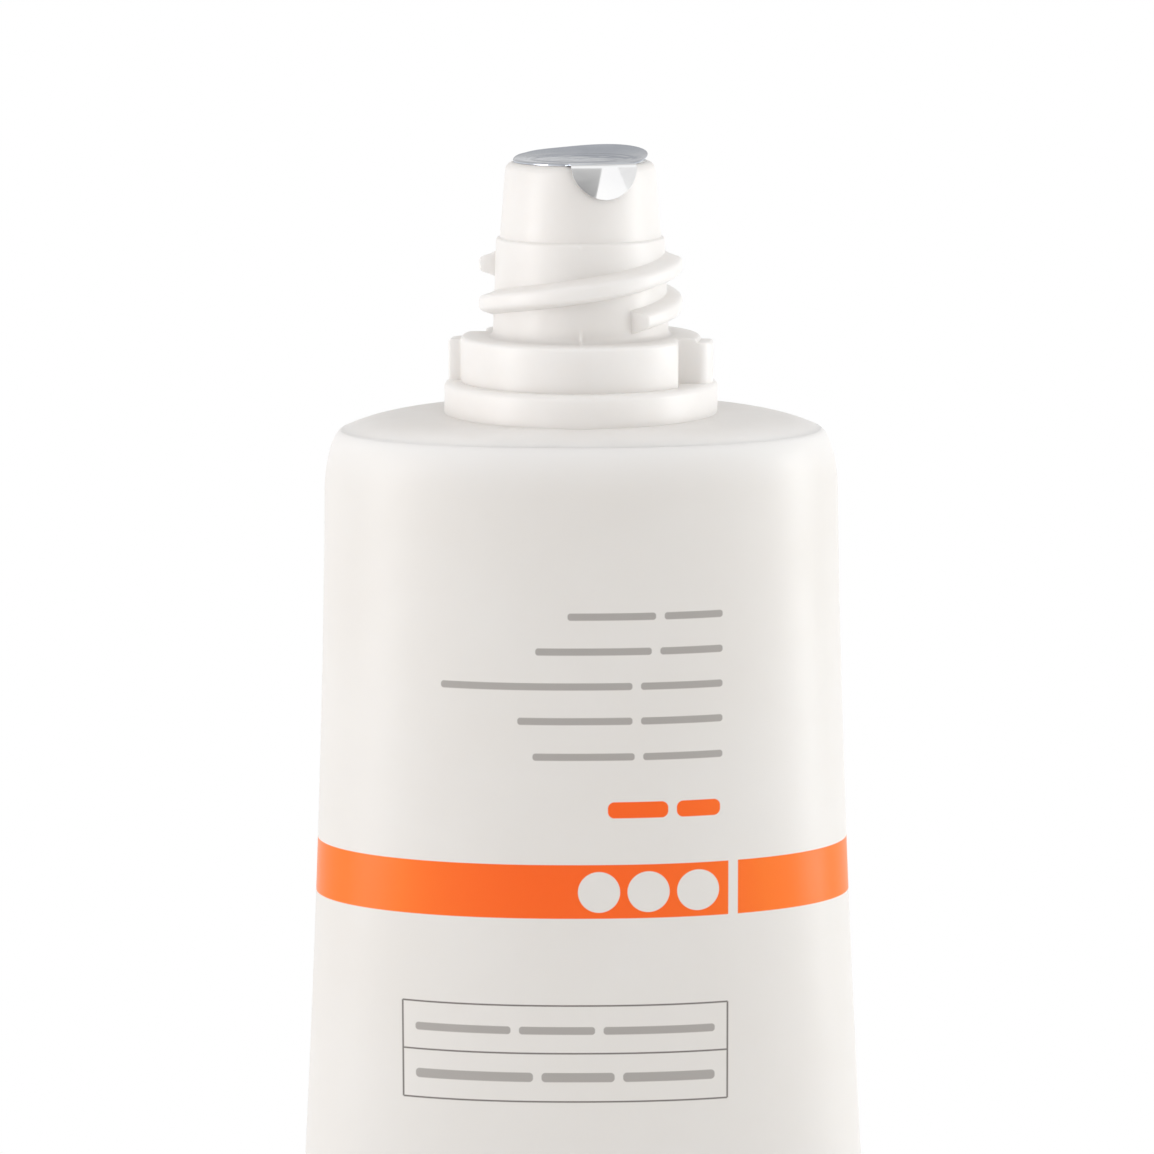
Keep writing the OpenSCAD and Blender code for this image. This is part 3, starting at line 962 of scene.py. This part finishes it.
bars = [
    bar_line(-1.3, 13.1, 17.2, 0.34, 7.3),
    bar_line(-4.3, 13.1, 20.5, 0.34, 6.9),
    bar_line(-13.1, 13.1, 23.8, 0.34, 5.1),
    bar_line(-6.0, 13.1, 27.1, 0.34, 5.1),
    bar_line(-4.6, 13.1, 30.5, 0.34, 5.3),
    bar_line(-15.8, 12.45, 57.0, 0.38, -6.4, 1.56),
    bar_line(-15.8, 12.45, 61.6, 0.46, -4.3, 3.4),
]


def any_of(masks):
    """The largest of several masks."""
    most = masks[0]
    for mask in masks[1:]:
        most = calc("MAXIMUM", most, mask)
    return most


dark = calc("MAXIMUM", any_of(lines), calc("MULTIPLY", any_of(bars), 0.62))
dark = calc("MULTIPLY", dark, front)
bold = calc("MULTIPLY", bar_line(2.4, 12.9, 35.6, 0.78, 8.44), front)
orange = calc("MAXIMUM", band, bold)

plastic = mix_color(spread(grain["Cloud"], 0.0, 1.0), WHITE_SLEEVE, WHITE_CLOUD)
# Painted light: the plastic is made paler within 5 mm of the weld, where the crease falls in shade.
weld_light_mask = place_group(tree, weld_light_group, {"Z": z, "Reach": 0.005})["Mask"]
plastic = mix_color(weld_light_mask, plastic, SLEEVE_WELD_PAINTED_LIGHT)
# Painted sheen: the ink is painted lighter and more yellow where the surface turns from the eye.
facing = tree.nodes.new("ShaderNodeLayerWeight").outputs["Facing"]
painted_sheen_mask = calc("MULTIPLY", facing, 7.0, clamp=True)
ink_and_painted_sheen = mix_color(painted_sheen_mask, INK_ORANGE, INK_ORANGE_PAINTED_SHEEN)
inked = mix_color(orange, plastic, ink_and_painted_sheen)
inked = mix_color(calc("MULTIPLY", dark, 0.85), inked, INK_GREY)
feed(shader.inputs["Base Color"], inked)
ink = calc("MAXIMUM", orange, dark)
gloss = spread(grain["Gloss"], 0.34, 0.42)
gloss = calc("SUBTRACT", gloss, calc("MULTIPLY", ink, 0.06))
feed(shader.inputs["Roughness"], gloss)
height = calc("ADD", calc("MULTIPLY", grain["Height"], 0.5), ink)
add_bump(shader, height, 0.35, 0.00001)
sleeve.data.materials.append(sleeve_material)
print("sleeve material", len(tree.nodes), "nodes")

# %% [markdown]
# ### Head
# The head is the same white plastic without ink, thicker and more translucent, so more of its
# light is scattered light, and it fills the grooves under the thread.

# %% Head plastic
head_material, tree, shader, place, clouded = grained_material(
    "moulded white plastic",
    (4200.0, 140.0),
    [(0.795, 0.77, 0.745, 1), (0.825, 0.805, 0.785, 1)],
    (0.36, 0.46),
    (0.3, 0.000012),
    Roughness=0.4,
    Subsurface_Weight=0.6,
    Subsurface_Scale=0.0028,
    Subsurface_Radius=(0.9, 0.95, 1.0),
    IOR=1.5,
)
split = tree.nodes.new("ShaderNodeSeparateXYZ")
feed(split.inputs[0], place)
# Painted light: the head is made whiter within 1.6 mm of the weld, over the shade of the crease.
weld_light_mask = place_group(tree, weld_light_group, {"Z": split.outputs["Z"], "Reach": 0.0016})["Mask"]
feed(shader.inputs["Base Color"], mix_color(weld_light_mask, clouded, (0.97, 0.96, 0.95, 1)))
head.data.materials.append(head_material)

# %% [markdown]
# ### Foil
# Rolled aluminium has fine straight lines from the mill, and handling leaves small dents. The
# lines are a noise stretched along one direction, and they go to bump and roughness. The disc on
# the rim is painted a darker blue-grey than the tab of the same foil: a painted reflection.

# %% Foil
rolled_group, rolled_in, rolled_out = new_group(
    "rolled_foil", {"Place": None, "Dent Size": 700.0}, ["Height", "Roughness", "Tint"]
)
stretch = rolled_group.nodes.new("ShaderNodeMapping")
stretch.inputs["Rotation"].default_value = (0.0, 0.0, np.radians(25))
stretch.inputs["Scale"].default_value = (200.0, 5000.0, 2000.0)
feed(stretch.inputs["Vector"], rolled_in["Place"])
mill = noise(stretch.outputs["Vector"], 1.0, 2.0)
dents = noise(rolled_in["Place"], rolled_in["Dent Size"], 2.0)
feed(rolled_out["Height"], calc("ADD", calc("MULTIPLY", mill, 0.15), dents))
feed(rolled_out["Roughness"], spread(mill, 0.16, 0.24))
feed(rolled_out["Tint"], dents)


def foil_material(name, dark_color, light_color, dent_size):
    """Aluminium foil between two tints."""
    material, tree, shader = new_material(name, Metallic=1.0, Roughness=0.25)
    place = object_place(tree)
    rolled = place_group(tree, rolled_group, {"Place": place, "Dent Size": dent_size})
    tint = mix_color(spread(rolled["Tint"], 0.0, 1.0), dark_color, light_color)
    feed(shader.inputs["Base Color"], tint)
    feed(shader.inputs["Roughness"], rolled["Roughness"])
    add_bump(shader, rolled["Height"], 0.2, 0.00002)
    return material


# The seal disc is the same foil as the tab, painted darker and bluer: a painted reflection and shade.
for piece, name, dark_tint, light_tint in (
    (foil, "seal foil with painted reflection", (0.53, 0.56, 0.615, 1), (0.6, 0.63, 0.685, 1)),
    (tab, "folded tab foil", (0.93, 0.94, 0.96, 1), (0.97, 0.98, 0.99, 1)),
):
    piece.data.materials.append(foil_material(name, dark_tint, light_tint, 300.0))

# %% [markdown]
# ### Film and cream
# The film is a thin ring of clouded plastic on the rim, which the CAD solid already shows well, so
# that solid stays and only gets this finish. The cream is glossy and scatters light deep inside.

# %% Film and cream
film_material = grained_material(
    "heat-seal film",
    (6000.0, 300.0),
    [(0.78, 0.78, 0.75, 1), (0.84, 0.84, 0.82, 1)],
    (0.25, 0.4),
    (0.4, 0.00001),
    Roughness=0.35,
    Subsurface_Weight=0.4,
    Subsurface_Scale=0.0008,
    Subsurface_Radius=(1.0, 0.95, 0.9),
    IOR=1.49,
)[0]
film_node = frame["nodes"]["seal_film"]
film_node.data.materials.clear()
film_node.data.materials.append(film_material)

cream_material = grained_material(
    "sunscreen cream",
    (900.0, 60.0),
    [(0.88, 0.85, 0.78, 1), (0.92, 0.9, 0.84, 1)],
    (0.22, 0.34),
    (0.4, 0.0001),
    Roughness=0.28,
    Subsurface_Weight=0.6,
    Subsurface_Scale=0.002,
    IOR=1.42,
)[0]
cream.data.materials.append(cream_material)
print("materials", [material.name for material in bpy.data.materials])

# %% [markdown]
# ## Studio
# The tube was photographed in a white tent: both sides and the back are bright, and the side of
# the camera is a little darker, which is why the flanks of the tube are lighter than its middle.
# The world holds that tent, brighter to the sides. The eye, and mirrors that look to the back, see
# plain white instead.

# %% World
world = bpy.data.worlds.new("white tent")
bpy.context.scene.world = world
world.use_nodes = True
tree = world.node_tree
tree.nodes.clear()
direction = tree.nodes.new("ShaderNodeTexCoord").outputs["Generated"]
split = tree.nodes.new("ShaderNodeSeparateXYZ")
feed(split.inputs[0], direction)
side, depth, rise = split.outputs


def smooth_range(value, low, high, at_low, at_high):
    """Smooth step of a value between two limits."""
    return remap(value, low, high, at_low, at_high, "SMOOTHSTEP")


# A strength for each part of the tent: behind the camera, behind the tube, and above.
camera_side = smooth_range(depth, -0.97, -0.8, 0.32, 1.02)
far_side = smooth_range(depth, -0.35, 0.45, 1.0, 0.65)
overhead = smooth_range(rise, 0.12, 0.6, 1.0, 0.95)
tent = calc("MULTIPLY", calc("MULTIPLY", camera_side, far_side), overhead)
tent_light = tree.nodes.new("ShaderNodeBackground")
feed(tent_light.inputs["Strength"], tent)
SIDE_TINT, TOP_TINT = (1.0, 0.987, 0.973, 1.0), (1.0, 0.99, 0.98, 1.0)
tint = mix_color(smooth_range(rise, 0.1, 0.7, 0.0, 1.0), SIDE_TINT, TOP_TINT)
feed(tent_light.inputs["Color"], tint)
backdrop = tree.nodes.new("ShaderNodeBackground")
backdrop.inputs["Color"].default_value = (1.0, 1.0, 1.0, 1.0)
paths = tree.nodes.new("ShaderNodeLightPath")
shown = calc("MULTIPLY", paths.outputs["Is Glossy Ray"], smooth_range(depth, 0.0, 0.3, 0.0, 1.0))
shown = calc("MULTIPLY", shown, smooth_range(rise, 0.0, 0.25, 1.0, 0.0))
shown = calc("MAXIMUM", shown, paths.outputs["Is Camera Ray"])
shown = calc("MAXIMUM", shown, paths.outputs["Is Transmission Ray"])
mix = tree.nodes.new("ShaderNodeMixShader")
feed(mix.inputs[0], shown)
feed(mix.inputs[1], tent_light.outputs[0])
feed(mix.inputs[2], backdrop.outputs[0])
world_out = tree.nodes.new("ShaderNodeOutputWorld")
feed(world_out.inputs["Surface"], mix.outputs[0])
print("world", len(tree.nodes), "nodes")

# %% [markdown]
# ### Floor
# A pale disc keeps the shadow of the tube. Away from the tube it fades to plain white for the eye,
# for mirrors and through clear things, so no horizon shows.

# %% Floor
floor_r = 0.45
floor_rings = np.linspace(0.0, 1.0, 8)[1:] * floor_r
floor_a = np.linspace(0, 2 * np.pi, 96, endpoint=False)
floor_z = float(cad_low[2])
floor_grid = np.stack(
    [
        floor_rings[:, None] * np.cos(floor_a),
        floor_rings[:, None] * np.sin(floor_a),
        np.full((len(floor_rings), len(floor_a)), floor_z),
    ],
    -1,
)
floor_faces = grid_faces(len(floor_rings), len(floor_a)).tolist() + [list(range(len(floor_a)))]
floor_mesh = bpy.data.meshes.new("studio_floor")
floor_mesh.from_pydata(floor_grid.reshape(-1, 3).tolist(), [], floor_faces)
floor = bpy.data.objects.new("studio_floor", floor_mesh)
bpy.context.scene.collection.objects.link(floor)
floor_material, tree, shader = new_material("pale floor", Roughness=0.6)
shader.inputs["Base Color"].default_value = (0.9, 0.9, 0.9, 1.0)
place = object_place(tree)
far = tree.nodes.new("ShaderNodeVectorMath")
far.operation = "LENGTH"
feed(far.inputs[0], place)
fade = smooth_range(far.outputs["Value"], 0.1, 0.2, 0.0, 1.0)
paths = tree.nodes.new("ShaderNodeLightPath")
seen = calc("MAXIMUM", paths.outputs["Is Camera Ray"], paths.outputs["Is Glossy Ray"])
seen = calc("MAXIMUM", seen, paths.outputs["Is Transmission Ray"])
plain_white = tree.nodes.new("ShaderNodeEmission")
mix = tree.nodes.new("ShaderNodeMixShader")
feed(mix.inputs[0], calc("MULTIPLY", seen, fade))
feed(mix.inputs[1], shader.outputs[0])
feed(mix.inputs[2], plain_white.outputs[0])
tree.links.new(mix.outputs[0], tree.nodes["Material Output"].inputs["Surface"])
floor_mesh.materials.append(floor_material)
print("floor", floor_r, "m in radius at height", round(floor_z, 4))

# %% [markdown]
# ### Lamps
# Two soft panels, upright beside the tube, add direction to the even light of the tent. The right
# one is stronger and a little cooler, as the right flanks of the neck are in the photograph.

# %% Lamps


def soft_panel(name, from_front_deg, far, height, size, power, color):
    """A soft panel at an angle from the front, turned toward the neck."""
    lamp = bpy.data.lights.new(name, "AREA")
    lamp.shape = "RECTANGLE"
    lamp.size, lamp.size_y = size
    lamp.energy = power
    lamp.color = color
    panel = bpy.data.objects.new(name, lamp)
    bpy.context.scene.collection.objects.link(panel)
    a = np.radians(from_front_deg)
    place = Vector((far * np.sin(a), -far * np.cos(a), height))
    panel.location = place
    panel.rotation_euler = (Vector((0, 0, height - 0.05)) - place).to_track_quat("-Z", "Y").to_euler()
    return panel


PANEL_FAR, PANEL_SIZE = 0.6, (0.25, 0.5)
left_panel = soft_panel("left panel", -70, PANEL_FAR, 0.12, PANEL_SIZE, 1.5, (1.0, 0.99, 0.995))
right_panel = soft_panel("right panel", 88, PANEL_FAR, 0.1, PANEL_SIZE, 1.95, (0.96, 0.985, 1.0))
print("panels", left_panel.data.energy, right_panel.data.energy, "W")

# %% [markdown]
# ## Camera
# The photograph looks slightly down at the neck from about half a metre. The pinhole was worked
# out from the ellipses of the rings and the curve of the printed band: 496 mm in front of the base
# ring and 63.5 mm above it, pitched 9.1 degrees down, with a focal length of 5267 pixels on a
# frame 1154 pixels wide. The neck stands 4.5 pixels right of the centre of the frame.

# %% Camera
PHOTO_PIXELS, focal_pixels = 1154, 5267.0
EYE_BACK, EYE_UP = 0.4959, 0.0635
PITCH_DEG, ROLL_DEG, NECK_OFF_PIXELS = 9.1, -0.17, 4.5
camera_data = bpy.data.cameras.new("photo camera")
camera_data.sensor_fit = "HORIZONTAL"
camera_data.sensor_width = 36.0
camera_data.lens = 36.0 * focal_pixels / PHOTO_PIXELS
camera_data.clip_start = 0.01
camera = bpy.data.objects.new("photo camera", camera_data)
bpy.context.scene.collection.objects.link(camera)
pitch, roll = np.radians([90 - PITCH_DEG, ROLL_DEG])
yaw = NECK_OFF_PIXELS / focal_pixels
turn = Matrix.Rotation(yaw, 4, "Z") @ Matrix.Rotation(pitch, 4, "X") @ Matrix.Rotation(roll, 4, "Z")
eye = Vector((0.0, -EYE_BACK, ring_z * MM + EYE_UP))
camera.matrix_world = Matrix.Translation(eye) @ turn
print("camera", [round(v, 4) for v in eye], "lens", round(camera_data.lens, 1), "mm")
bpy.context.scene.camera = camera
bpy.context.scene.view_settings.view_transform = "Standard"
